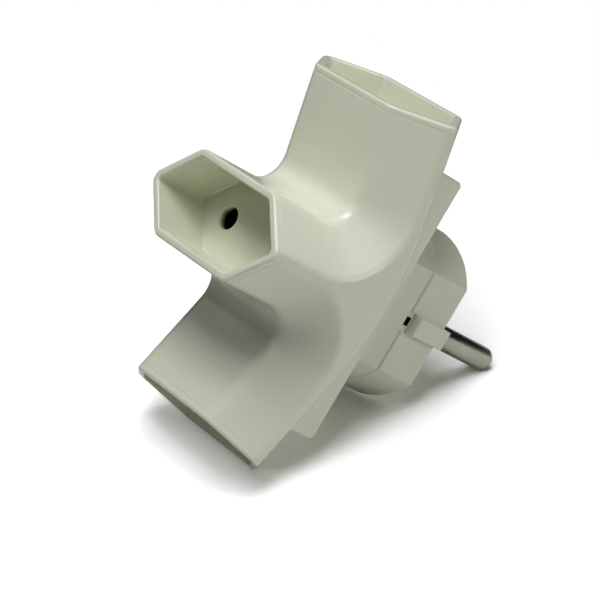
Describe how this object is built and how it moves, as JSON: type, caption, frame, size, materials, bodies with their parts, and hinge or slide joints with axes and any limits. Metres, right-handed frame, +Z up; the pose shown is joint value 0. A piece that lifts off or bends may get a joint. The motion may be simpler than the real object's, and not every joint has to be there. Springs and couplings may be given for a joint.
{
  "type": "multi socket adapter",
  "caption": "Mains adapter: a round plug with pins carries flat hexagonal sockets that face forward, up and down, so that several flat plugs share the same wall outlet.",
  "frame": {"origin": "middle of the plug's face, between the pins", "axes": "+Y along the plug pins into the wall socket, +X across, along both pins' line, +Z up towards the upper socket"},
  "size_m": [0.0394, 0.0719, 0.0752],
  "materials": {
    "shell_plastic": "glossy ivory moulding",
    "plug_plastic": "glossy ivory moulding",
    "pin_metal": "nickel plated",
    "strip_brass": "rolled",
    "contact_brass": "rolled",
    "screw_steel": "zinc plated"
  },
  "bodies": {
    "root": {"front_shell": "shell_plastic", "back_plate": "plug_plastic", "plug_cap": "plug_plastic", "housing_screws": "screw_steel", "plug_pin_left": "pin_metal", "busbar_left": "strip_brass", "front_contact_left": "contact_brass", "upper_contact_left": "contact_brass", "lower_contact_left": "contact_brass", "plug_pin_right": "pin_metal", "busbar_right": "strip_brass", "front_contact_right": "contact_brass", "upper_contact_right": "contact_brass", "lower_contact_right": "contact_brass"}
  },
  "joints": []
}
